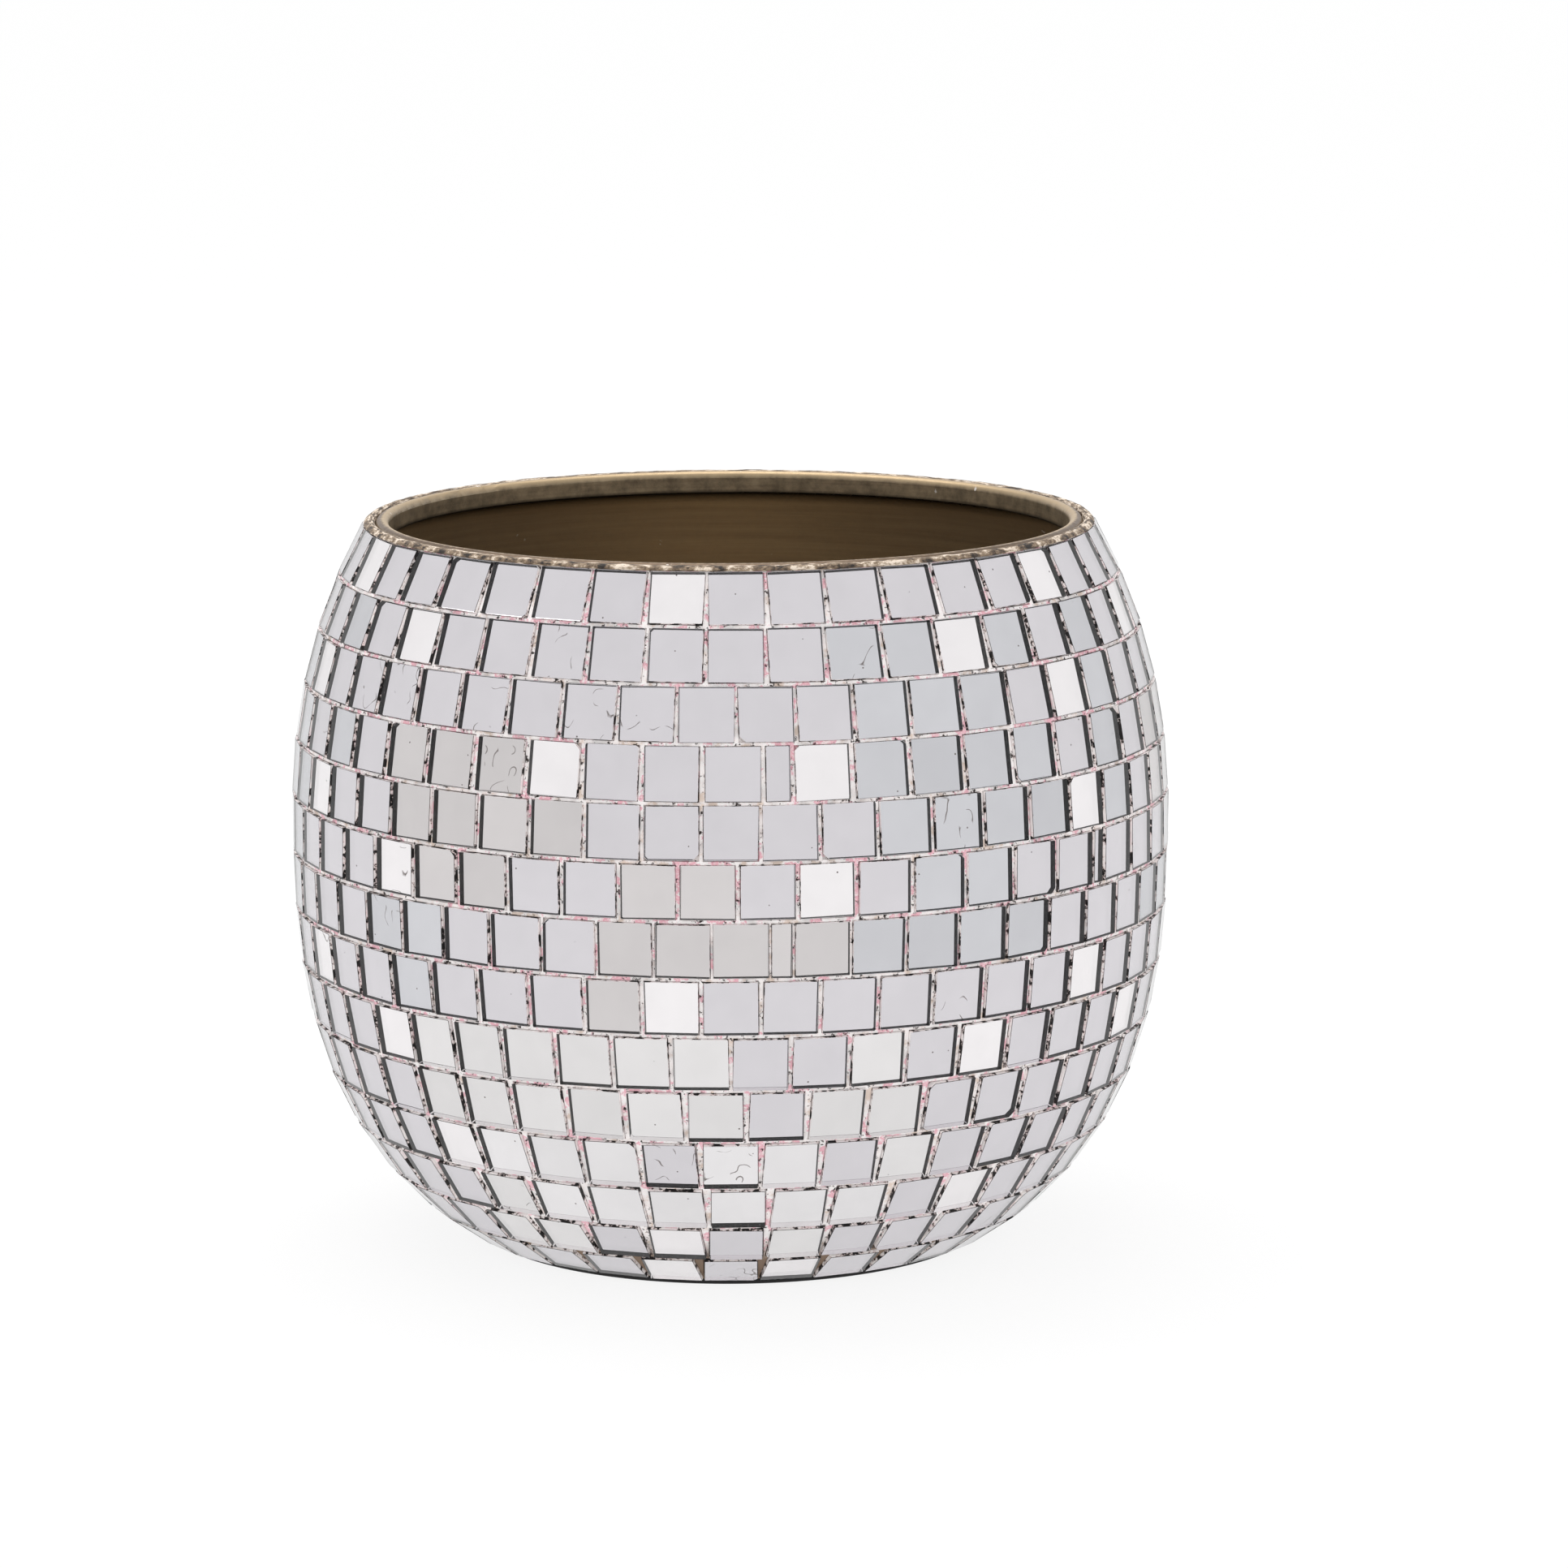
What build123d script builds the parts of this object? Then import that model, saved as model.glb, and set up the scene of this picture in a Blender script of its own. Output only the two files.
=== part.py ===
"""Mirror-mosaic plant pot: a spun metal pot whose outside is tiled with small squares of mirror glass.

The pot stands on the origin with its axis along +Z. All lengths are millimetres and all angles degrees.
Rows are numbered from the mouth down to the foot.
"""
from build123d import *
import math
import os

# Form of the pot, taken on the faces of the tiles
BELLY_RADIUS = 124.7
BELLY_HEIGHT = 120.8
MOUTH_RADIUS = 103.3
MOUTH_HEIGHT = 205.3
FOOT_RADIUS = 75.1
FOOT_HEIGHT = 1.8
FULLNESS_ABOVE = 2.1    # 2 is an ellipse, more is squarer
FULLNESS_BELOW = 2.6

# Layers, from the outside inwards
GLASS_THICKNESS = 2.1
BED_THICKNESS = 1.4
WALL_THICKNESS = 1.2
MORTAR_RECESS = 0.8     # how far the joints lie below the faces of the tiles

# Rim: the wall stands up as a collar and folds over inwards
HEM_WIDTH = 3.8
HEM_DROP = 6.7          # from the top of the fold to the lower edge of the inner leg
HEM_RISE = 1.0          # top of the fold above the top row of tiles

# Putty run round the collar, over the top edges of the first row
PUTTY_CROWN = 1.55      # highest point above the tiles
PUTTY_LIP = 0.4         # thickness at its outer edge
PUTTY_GROOVE = 0.2      # height above the tiles where it meets the collar

# Foot
PAD_SETBACK = 1.6       # from the edge of the floor to the edge of the pad under it

# Mirror tiles
ROW_JOINT = 0.85        # between one row and the next
# One entry for each row: the least joint beside a tile, the width of the cut tile that closes
# the row (0 for none), and the angle about the axis, from -Y towards +X, where the row closes.
ROWS = (
    (0.15, 7.4, 172.8),
    (0.25, 0.0, 177.2),
    (0.25, 6.2, 173.5),
    (0.75, 6.8, 6.5),
    (0.45, 6.4, 176.8),
    (0.65, 4.6, 54.7),
    (0.35, 5.8, 6.8),
    (0.55, 0.0, 184.2),
    (0.65, 0.0, 184.2),
    (0.65, 6.4, 174.3),
    (0.45, 10.0, 184.5),
    (0.55, 0.0, 181.4),
    (0.05, 0.0, 186.1),
    (0.02, 0.0, 180.1),
)
ROW_COUNT = len(ROWS)
PROFILE_STEPS = 2000    # steps along the outline when the rows are spaced out


def outline_radius(height):
    """Radius of the pot at a height: half a superellipse above the belly and half of another below it."""
    if height >= BELLY_HEIGHT:
        end_radius, end_height, fullness = MOUTH_RADIUS, MOUTH_HEIGHT, FULLNESS_ABOVE
    else:
        end_radius, end_height, fullness = FOOT_RADIUS, FOOT_HEIGHT, FULLNESS_BELOW
    end_share = 1 - (end_radius / BELLY_RADIUS) ** fullness
    share = end_share * (abs(height - BELLY_HEIGHT) / abs(end_height - BELLY_HEIGHT)) ** fullness
    return BELLY_RADIUS * (1 - share) ** (1 / fullness)


def ring_points():
    """Points (radius, height) on the outline, equally far apart along it, where one row meets the next."""
    heights = [
        MOUTH_HEIGHT + (FOOT_HEIGHT - MOUTH_HEIGHT) * step / PROFILE_STEPS
        for step in range(PROFILE_STEPS + 1)
    ]
    path = [(outline_radius(height), height) for height in heights]
    travelled = [0.0]
    for start, end in zip(path, path[1:]):
        travelled.append(travelled[-1] + math.dist(start, end))
    rings = []
    for ring in range(ROW_COUNT + 1):
        wanted = travelled[-1] * ring / ROW_COUNT
        nearest = min(range(len(path)), key=lambda step: abs(travelled[step] - wanted))
        rings.append(path[nearest])
    return rings


RINGS = ring_points()
ROW_PITCH = min(math.dist(upper, lower) for upper, lower in zip(RINGS, RINGS[1:]))
TILE = ROW_PITCH - ROW_JOINT
WALL_DEPTH = GLASS_THICKNESS + BED_THICKNESS


def row_normal(row):
    """Outward unit normal (radial, vertical) of a row's faces."""
    (upper_r, upper_z), (lower_r, lower_z) = RINGS[row], RINGS[row + 1]
    length = math.dist(RINGS[row], RINGS[row + 1])
    return (upper_z - lower_z) / length, (lower_r - upper_r) / length


def rings_at_depth(depth):
    """The ring points moved inwards so that every row lies this far below the faces of its tiles."""
    moved = []
    for ring, (radius, height) in enumerate(RINGS):
        above = row_normal(max(ring - 1, 0))
        below = row_normal(min(ring, ROW_COUNT - 1))
        scale = depth / (1 + above[0] * below[0] + above[1] * below[1])
        moved.append((radius - scale * (above[0] + below[0]), height - scale * (above[1] + below[1])))
    return moved


def on_section(point):
    """A (radius, height) point on the XZ plane."""
    return Vector(point[0], 0, point[1])


def turned(edges):
    """Solid turned about the pot's axis from a closed outline on the XZ plane."""
    return revolve(make_face(edges), axis=Axis.Z, revolution_arc=360)


def polygon_edges(points):
    """Straight edges that join the points and close the outline."""
    corners = [on_section(point) for point in points]
    return [Line(start, end) for start, end in zip(corners, corners[1:] + corners[:1])]


WALL_OUTSIDE = rings_at_depth(WALL_DEPTH)
WALL_INSIDE = rings_at_depth(WALL_DEPTH + WALL_THICKNESS)
FLOOR_UNDERSIDE = WALL_OUTSIDE[-1][1]
FLOOR_TOP = FLOOR_UNDERSIDE + WALL_THICKNESS
COLLAR_RADIUS = WALL_OUTSIDE[0][0]
HEM_RADIUS = HEM_WIDTH / 2
HEM_TOP = MOUTH_HEIGHT + HEM_RISE


def pot_shell():
    """Spun wall, flat floor and folded hem, all one sheet."""
    above, below = WALL_INSIDE[-2], WALL_INSIDE[-1]
    share = (above[1] - FLOOR_TOP) / (above[1] - below[1])
    floor_corner = (above[0] + share * (below[0] - above[0]), FLOOR_TOP)
    inside = WALL_INSIDE[:-1] + [floor_corner]

    fold_x = COLLAR_RADIUS - HEM_RADIUS
    fold_z = HEM_TOP - HEM_RADIUS
    leg_end = HEM_TOP - HEM_DROP + WALL_THICKNESS / 2
    inner_fold = HEM_RADIUS - WALL_THICKNESS
    leg_outside = fold_x - HEM_RADIUS
    leg_inside = fold_x - inner_fold
    leg_middle = (leg_outside + leg_inside) / 2

    def line(start, end):
        return Line(on_section(start), on_section(end))

    def arc(start, middle, end):
        return ThreePointArc(on_section(start), on_section(middle), on_section(end))

    return turned([
        Spline(*[on_section(point) for point in WALL_OUTSIDE]),
        line(WALL_OUTSIDE[-1], (0, FLOOR_UNDERSIDE)),
        line((0, FLOOR_UNDERSIDE), (0, FLOOR_TOP)),
        line((0, FLOOR_TOP), floor_corner),
        Spline(*[on_section(point) for point in reversed(inside)]),
        line(WALL_INSIDE[0], (fold_x + inner_fold, fold_z)),
        arc((fold_x + inner_fold, fold_z), (fold_x, fold_z + inner_fold), (leg_inside, fold_z)),
        line((leg_inside, fold_z), (leg_inside, leg_end)),
        arc((leg_inside, leg_end), (leg_middle, leg_end - WALL_THICKNESS / 2), (leg_outside, leg_end)),
        line((leg_outside, leg_end), (leg_outside, fold_z)),
        arc((leg_outside, fold_z), (fold_x, HEM_TOP), (COLLAR_RADIUS, fold_z)),
        line((COLLAR_RADIUS, fold_z), WALL_OUTSIDE[0]),
    ])


def wall_blank():
    """Everything inside the outer face of the wall."""
    return turned([
        Spline(*[on_section(point) for point in WALL_OUTSIDE]),
        Line(on_section(WALL_OUTSIDE[-1]), Vector(0, 0, FLOOR_UNDERSIDE)),
        Line(Vector(0, 0, FLOOR_UNDERSIDE), Vector(0, 0, WALL_OUTSIDE[0][1])),
        Line(Vector(0, 0, WALL_OUTSIDE[0][1]), on_section(WALL_OUTSIDE[0])),
    ])


def narrow_radius(row):
    """Least radius of the backs of a row's tiles."""
    normal = row_normal(row)
    middle_r = (RINGS[row][0] + RINGS[row + 1][0]) / 2
    return middle_r - abs(normal[1]) * TILE / 2 - normal[0] * GLASS_THICKNESS


def tile_plan(row):
    """Angle and width of each tile in a row: whole tiles, then the cut one that closes the row."""
    least_joint, closing_width, closing_angle = ROWS[row]
    radius = narrow_radius(row)

    def share_of_turn(width):
        return math.degrees(2 * math.atan((width + least_joint) / 2 / radius))

    closing_share = share_of_turn(closing_width) if closing_width else 0.0
    whole_tiles = int((360 - closing_share) / share_of_turn(TILE))
    step = (360 - closing_share) / whole_tiles
    first = closing_angle + closing_share / 2 + step / 2
    plan = [(first + step * number, TILE) for number in range(whole_tiles)]
    if closing_width:
        plan.append((closing_angle, closing_width))
    return plan


def mirror_tiles(row):
    """The flat glass tiles of a row, each with its face on the row's line."""
    radial, vertical = row_normal(row)
    middle_r = (RINGS[row][0] + RINGS[row + 1][0]) / 2 - radial * GLASS_THICKNESS / 2
    middle_z = (RINGS[row][1] + RINGS[row + 1][1]) / 2 - vertical * GLASS_THICKNESS / 2
    lean = math.degrees(math.atan2(vertical, radial))
    tiles = []
    for angle, width in tile_plan(row):
        glass = Rot(0, -lean, 0) * Box(GLASS_THICKNESS, width, TILE)
        tiles.append(Rot(0, 0, angle - 90) * Pos(middle_r, 0, middle_z) * glass)
    return tiles


def mortar_band(row, tiles, blank):
    """Setting mortar behind and between the tiles of a row, down to the wall."""
    outer = rings_at_depth(MORTAR_RECESS)[row:row + 2]
    inner = rings_at_depth(WALL_DEPTH + WALL_THICKNESS)[row:row + 2]
    band = turned(polygon_edges([outer[0], outer[1], inner[1], inner[0]]))
    return band - blank - Compound(tiles)


def rim_putty():
    """Ring of putty between the collar and the top edges of the first row."""
    tile_corner = RINGS[0]
    crown_radius = (COLLAR_RADIUS + tile_corner[0]) / 2
    return turned(polygon_edges([
        WALL_OUTSIDE[0],
        tile_corner,
        (tile_corner[0], MOUTH_HEIGHT + PUTTY_LIP),
        (crown_radius, MOUTH_HEIGHT + PUTTY_CROWN),
        (COLLAR_RADIUS, MOUTH_HEIGHT + PUTTY_GROOVE),
    ]))


def base_pad():
    """Disc under the floor, which lifts the lowest tiles clear of the table."""
    pad_radius = WALL_OUTSIDE[-1][0] - PAD_SETBACK
    return Pos(0, 0, FLOOR_UNDERSIDE / 2) * Cylinder(pad_radius, FLOOR_UNDERSIDE)


os.makedirs("parts", exist_ok=True)
export_step(pot_shell(), "parts/pot_shell.step")
export_step(rim_putty(), "parts/rim_putty.step")
export_step(base_pad(), "parts/base_pad.step")

WALL_BLANK = wall_blank()
for row_number in range(ROW_COUNT):
    row_tiles = mirror_tiles(row_number)
    band = mortar_band(row_number, row_tiles, WALL_BLANK)
    export_step(Compound(row_tiles), f"parts/mirror_row_{row_number + 1:02d}.step")
    export_step(band, f"parts/mortar_band_{row_number + 1:02d}.step")
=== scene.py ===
import math
import random

import bmesh
import bpy
from mathutils import Matrix, Vector, noise


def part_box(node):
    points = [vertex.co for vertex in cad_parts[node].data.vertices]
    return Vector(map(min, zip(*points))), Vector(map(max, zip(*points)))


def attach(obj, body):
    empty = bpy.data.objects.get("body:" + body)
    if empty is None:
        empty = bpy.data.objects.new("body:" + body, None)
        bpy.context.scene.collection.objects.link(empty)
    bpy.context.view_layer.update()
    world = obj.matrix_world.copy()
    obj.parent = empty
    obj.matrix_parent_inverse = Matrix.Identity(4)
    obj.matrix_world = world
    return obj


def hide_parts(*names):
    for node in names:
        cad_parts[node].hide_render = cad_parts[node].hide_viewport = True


bl_info = {
    "name": "Mirror mosaic pot",
    "version": (1, 0, 0),
    "blender": (4, 5, 0),
    "location": "3D View > Sidebar > Mosaic pot",
    "description": "Builds the finished tiles, mortar, rim and foot of a mirror mosaic pot",
    "category": "Object",
}

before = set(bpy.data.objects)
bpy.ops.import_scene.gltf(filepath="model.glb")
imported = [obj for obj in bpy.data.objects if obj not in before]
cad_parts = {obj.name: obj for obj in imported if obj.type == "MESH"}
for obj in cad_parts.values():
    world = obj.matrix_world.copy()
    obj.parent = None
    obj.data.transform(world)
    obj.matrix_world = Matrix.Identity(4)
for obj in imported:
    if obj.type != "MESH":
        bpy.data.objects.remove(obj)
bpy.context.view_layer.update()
ROW_COUNT = sum(name.startswith("mirror_row_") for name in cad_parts)
MM = 0.001
LAST_MATERIAL = -1      # bevel keeps the materials of the faces round it

# The materials of a tile, in the order that its piece lists them.
GLASS_FRONT, SILVER_BACK, SNAPPED_SIDE = range(3)
# How squarely a face must look out, back or down to count as the tile's front, back or foot.
FRONT_FACING = 0.3
BACK_FACING = -0.9
FOOT_FACING = 0.7
TILE_CORNERS = [(side, end) for side in (-1, 1) for end in (-1, 1)]
FIRST_SEED = 700        # each row adds its number to it

HEM_DEPTH = 6.7 * MM            # from the top of the hem to its lower edge
COLLAR_SETBACK = 3.1 * MM       # from the outside of the putty in to the collar
PUTTY_WIDTH = 2.95 * MM
PUTTY_DROP = 0.6 * MM           # from the top of the CAD putty down to the crown of the run
PUTTY_STEPS = 720               # steps round the pot, about 1 mm each
PAD_STEPS = 192
PAD_BORDER = 4 * MM             # flat ring inside the pad's rounded edge
FLOOR_GAP = 0.05 * MM           # keeps the floor clear of the pad's underside


# ---------------------------------------------------------------- settings

def length(name, description, millimetres):
    """A size in metres whose default is given in millimetres."""
    return bpy.props.FloatProperty(
        name=name, description=description, default=millimetres * MM, unit="LENGTH", precision=5)


def angle(name, description, degrees):
    """An angle whose default is given in degrees."""
    return bpy.props.FloatProperty(
        name=name, description=description, default=math.radians(degrees), unit="ROTATION")


def share(name, description, default):
    """A part of the whole, from 0 to 1."""
    return bpy.props.FloatProperty(
        name=name, description=description, default=default, min=0.0, max=1.0, subtype="FACTOR")


def linear(hex_colour):
    """Linear RGBA of an sRGB hex colour such as #D5D3D6."""
    channels = [int(hex_colour[place:place + 2], 16) / 255 for place in (1, 3, 5)]
    return [c / 12.92 if c <= 0.04045 else ((c + 0.055) / 1.055) ** 2.4 for c in channels] + [1.0]


def colour(name, description, hex_colour):
    """A colour whose default is given as an sRGB hex value."""
    return bpy.props.FloatVectorProperty(
        name=name, description=description, default=linear(hex_colour)[:3], size=3,
        min=0.0, max=1.0, subtype="COLOR")


class MosaicPotTiles(bpy.types.PropertyGroup):
    """How unevenly the mirror tiles are cut and set, and what their silvering reflects."""
    size_spread: length("Size spread", "How much smaller than its place a tile may be cut", 0.10)
    place_spread: length("Place spread", "How far a tile strays from its place in the row", 0.04)
    corner_spread: length("Corner spread", "How far each corner strays from square", 0.24)
    turn_spread: angle("Turn spread", "How far a tile is turned in its own plane", 0.28)
    tilt_spread: angle("Tilt spread", "How far a tile leans out of its row", 0.40)
    clearance: length("Clearance", "Least gap between a tile and the mortar beside it", 0.02)
    nip: length("Nipped corner", "Usual size of the broken tip of a corner", 0.20)
    chip: length("Chipped corner", "Largest chip off a corner", 1.7)
    chip_share: share("Chipped corners", "Share of the corners with a large chip", 0.06)
    arris: length("Arris", "Width of the worn edge round a tile's face", 0.10)
    seat: length("Seat", "How far the back of a tile stands off its bed", 0.20)
    worn_share: share("Worn tiles", "Share of the tiles with scratched silvering", 0.07)
    # The next share sets how many lower tiles get a painted glint on their lower edge.
    glint_share: share("Foot glints", "Share of the other lower tiles with a painted glint on the lower edge", 0.4)
    # The silvering colours stand in for what the tiles reflect: painted reflections, with white as painted
    # glints.
    lilac: colour("Usual silvering", "What most tiles reflect", "#D4D1D5")
    white: colour("Bright silvering", "The few brightest tiles", "#EEEBEC")
    cool: colour("Cool silvering", "Bluish tiles", "#CACACE")
    warm: colour("Warm silvering", "Greyer painted reflection", "#CFCBCB")
    pale: colour("Pale silvering", "Tiles a little lighter than most", "#DEDCDC")
    light: colour("Light silvering", "Tiles between pale and bright", "#E6E4E5")
    edge: colour("Cut edge", "Edges of the glass, seen through it", "#080607")
    # The next colour whitens the outer edges, partly as mortar and partly as a painted highlight.
    edge_smear_and_highlight: colour("Smeared and highlighted edge", "Edges whitened by mortar and painted highlight", "#FAF6F5")


class MosaicPotMortar(bpy.types.PropertyGroup):
    """The colours of the mortar in the joints."""
    base: colour("Mortar", "Most of the mortar", "#FBF3F1")
    bloom: colour("Pale mortar", "Where it has dried white", "#FFFDFC")
    pink: colour("Pink mortar", "Where the pigment is strong", "#EFB0BE")
    sand: colour("Sandy mortar", "Where the sand shows", "#EAD8CB")
    foot: colour("Bronze mortar", "Overpainted joints near the foot", "#7D6856")


class MosaicPotRim(bpy.types.PropertyGroup):
    """The bronze paint of the sheet-metal pot and the putty round its rim."""
    paint: colour("Bronze paint", "Paint on the sheet", "#9D8A70")
    # The next colour is a painted highlight along the top of the hem's fold.
    fold_highlight: colour("Fold highlight", "Painted highlight along the top of the fold", "#AE9878")
    # The next colour is painted shade: a near-black band under the hem.
    hem_shade: colour("Hem shade", "Painted shade under the hem", "#0E0A06")
    nick: colour("Nicks", "Bare metal in the chips", "#D8D2CC")
    putty: colour("Putty", "Painted putty round the collar", "#655342")
    lump: length("Lumps", "Height of the lumps in the putty", 0.13)
    lump_size: length("Lump size", "Distance from one lump to the next", 3.4)


class MosaicPotFoot(bpy.types.PropertyGroup):
    """The pad under the pot."""
    rounding: length("Rounding", "Radius of the pad's edges", 0.6)
    black: colour("Pad", "Colour of the pad", "#141314")


class MosaicPotStage(bpy.types.PropertyGroup):
    """Where the camera stands, and how light the surroundings are."""
    distance: bpy.props.FloatProperty(
        name="Distance", description="From the pot's axis to the camera", default=1.826, unit="LENGTH")
    height: bpy.props.FloatProperty(
        name="Height", description="Of the camera above the floor", default=0.451, unit="LENGTH")
    sideways: length("Sideways", "Camera's place right of the axis", 15.3)
    pitch: angle("Pitch", "How far the camera looks down", 10.01)
    roll: angle("Roll", "How far the camera leans", -0.19)
    lens: bpy.props.FloatProperty(
        name="Lens", description="Focal length on a 36 mm sensor, in millimetres", default=149.07)
    sky: colour("Surroundings", "Colour of the light all round", "#FFFFFF")
    floor: colour("Floor", "Colour of the light table", "#FFFFFF")
    table_glow: bpy.props.FloatProperty(
        name="Table glow", description="Brightness of the table's own light", default=0.88)
    softbox: bpy.props.FloatProperty(
        name="Softbox", description="Power of the overhead softbox", default=16.0, unit="POWER")


# ---------------------------------------------------------------- materials

def new_material(name):
    """An empty material and its node tree."""
    material = bpy.data.materials.new(name)
    material.use_nodes = True
    material.node_tree.nodes.clear()
    return material, material.node_tree


def add(tree, kind, inputs=None, stops=None, **settings):
    """Adds a node, sets it up, and fills each input with a value or with a link from an output."""
    made = tree.nodes.new(kind)
    for name, value in settings.items():
        setattr(made, name, value)
    for name, value in (inputs or {}).items():
        if isinstance(value, bpy.types.NodeSocket):
            tree.links.new(value, made.inputs[name])
        else:
            made.inputs[name].default_value = value
    if stops:
        ramp = made.color_ramp
        while len(ramp.elements) < len(stops):
            ramp.elements.new(0.5)
        for element, (place, tint) in zip(ramp.elements, stops):
            element.position = place
            element.color = tint
    return made


def per_metre(millimetres):
    """Texture scale that repeats a pattern every so many millimetres."""
    return 1000 / millimetres


def rgba(prop):
    """A colour property as RGBA."""
    return (*prop, 1.0)


def silvering():
    """Silver coat on the back of float glass, chemically deposited: a clean reflection, each sheet
    with its own tone, faint clouding a centimetre or so across, pinhole specks where the coat has
    lifted, and fine curved scratches on the worn tiles. The tones are painted reflections: the cool,
    warm, pale and white tiles stand in for the room and lights as the tilted tiles reflect them. The
    scratches are drawn about 0.2 mm wide, a little coarser than real ones, so that they show."""
    material, tree = new_material("silver_coat")
    place = add(tree, "ShaderNodeTexCoord").outputs["Object"]
    tile = add(tree, "ShaderNodeAttribute", attribute_name="tile_tone")
    cloud = add(tree, "ShaderNodeTexNoise", {
        "Vector": place, "Scale": per_metre(11), "Detail": 4.0, "Roughness": 0.6})
    shade = add(tree, "ShaderNodeMapRange", {
        "Value": cloud.outputs["Fac"], "From Min": 0.3, "From Max": 0.7, "To Min": 0.975, "To Max": 1.02})
    clouded = add(tree, "ShaderNodeVectorMath", {
        0: tile.outputs["Color"], 1: shade.outputs["Result"]}, operation="MULTIPLY")
    contour = add(tree, "ShaderNodeTexNoise", {"Vector": place, "Scale": per_metre(8), "Detail": 1.0})
    line = add(tree, "ShaderNodeValToRGB", {"Fac": contour.outputs["Fac"]}, stops=[
        (0.490, (0, 0, 0, 1)), (0.496, (1, 1, 1, 1)), (0.502, (1, 1, 1, 1)), (0.508, (0, 0, 0, 1))])
    stretch = add(tree, "ShaderNodeTexNoise", {"Vector": place, "Scale": per_metre(4.5), "Detail": 0.0})
    short = add(tree, "ShaderNodeValToRGB", {"Fac": stretch.outputs["Fac"]}, stops=[
        (0.56, (0, 0, 0, 1)), (0.62, (1, 1, 1, 1))])
    scratch = add(tree, "ShaderNodeMath", {
        0: line.outputs["Color"], 1: short.outputs["Color"]}, operation="MULTIPLY")
    scratched = add(tree, "ShaderNodeMath", {
        0: scratch.outputs["Value"], 1: tile.outputs["Alpha"]}, operation="MULTIPLY")
    pinhole = add(tree, "ShaderNodeTexVoronoi", {"Vector": place, "Scale": per_metre(7)}, feature="F1")
    speck = add(tree, "ShaderNodeValToRGB", {"Fac": pinhole.outputs["Distance"]}, stops=[
        (0.028, (1, 1, 1, 1)), (0.042, (0, 0, 0, 1))])
    mark = add(tree, "ShaderNodeMath", {
        0: scratched.outputs["Value"], 1: speck.outputs["Color"]}, operation="MAXIMUM")
    marked = add(tree, "ShaderNodeMix", {
        0: mark.outputs["Value"], 6: clouded.outputs["Vector"], 7: linear("#77706E")}, data_type="RGBA")
    surface = add(tree, "ShaderNodeBsdfPrincipled", {
        "Base Color": marked.outputs[2], "Metallic": 1.0, "Roughness": 0.02})
    add(tree, "ShaderNodeOutputMaterial", {"Surface": surface.outputs["BSDF"]})
    return material


def float_glass():
    """Float glass, fire-polished on its face: clear and smooth, so the eye meets the silver behind it
    and, towards the far edges, the dark cut edge doubled in the silver. The shine of the face itself is
    held back, as a polarising filter does."""
    material, tree = new_material("float_glass")
    surface = add(tree, "ShaderNodeBsdfPrincipled", {
        "Base Color": linear("#FFFFFF"), "Roughness": 0.0, "IOR": 1.52, "Transmission Weight": 1.0,
        "Specular Tint": linear("#404040")})
    add(tree, "ShaderNodeOutputMaterial", {"Surface": surface.outputs["BSDF"]})
    return material


def cut_edge(look):
    """Scored and snapped glass edge. Seen through the glass it is almost black, with small grey flakes
    where the glass has shelled. From outside it is whitened, partly by wiped mortar and partly as a
    painted highlight, with dark stretches a millimetre or two long."""
    material, tree = new_material("snapped_glass_edge")
    place = add(tree, "ShaderNodeTexCoord").outputs["Object"]
    tone = add(tree, "ShaderNodeAttribute", attribute_name="tile_tone").outputs["Color"]
    flake = add(tree, "ShaderNodeTexNoise", {
        "Vector": place, "Scale": per_metre(0.9), "Detail": 4.0, "Roughness": 0.7})
    shelled = add(tree, "ShaderNodeValToRGB", {"Fac": flake.outputs["Fac"]}, stops=[
        (0.62, (0, 0, 0, 1)), (0.68, (1, 1, 1, 1))])
    inside = add(tree, "ShaderNodeMix", {
        0: shelled.outputs["Color"], 6: tone, 7: linear("#8E8684")}, data_type="RGBA")
    wiped = add(tree, "ShaderNodeTexNoise", {
        "Vector": place, "Scale": per_metre(3.0), "Detail": 5.0, "Roughness": 0.7})
    # Outside, the edges turn white partly as wiped mortar and partly as a painted highlight.
    bare = add(tree, "ShaderNodeValToRGB", {"Fac": wiped.outputs["Fac"]}, stops=[
        (0.465, rgba(look.edge)), (0.49, linear("#EAD9D6")), (0.53, rgba(look.edge_smear_and_highlight))])
    from_inside = add(tree, "ShaderNodeNewGeometry").outputs["Backfacing"]
    shown = add(tree, "ShaderNodeMix", {
        0: from_inside, 6: bare.outputs["Color"], 7: inside.outputs[2]}, data_type="RGBA")
    surface = add(tree, "ShaderNodeBsdfPrincipled", {
        "Base Color": shown.outputs[2], "Roughness": 0.5, "IOR": 1.5})
    add(tree, "ShaderNodeOutputMaterial", {"Surface": surface.outputs["BSDF"]})
    return material


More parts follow.
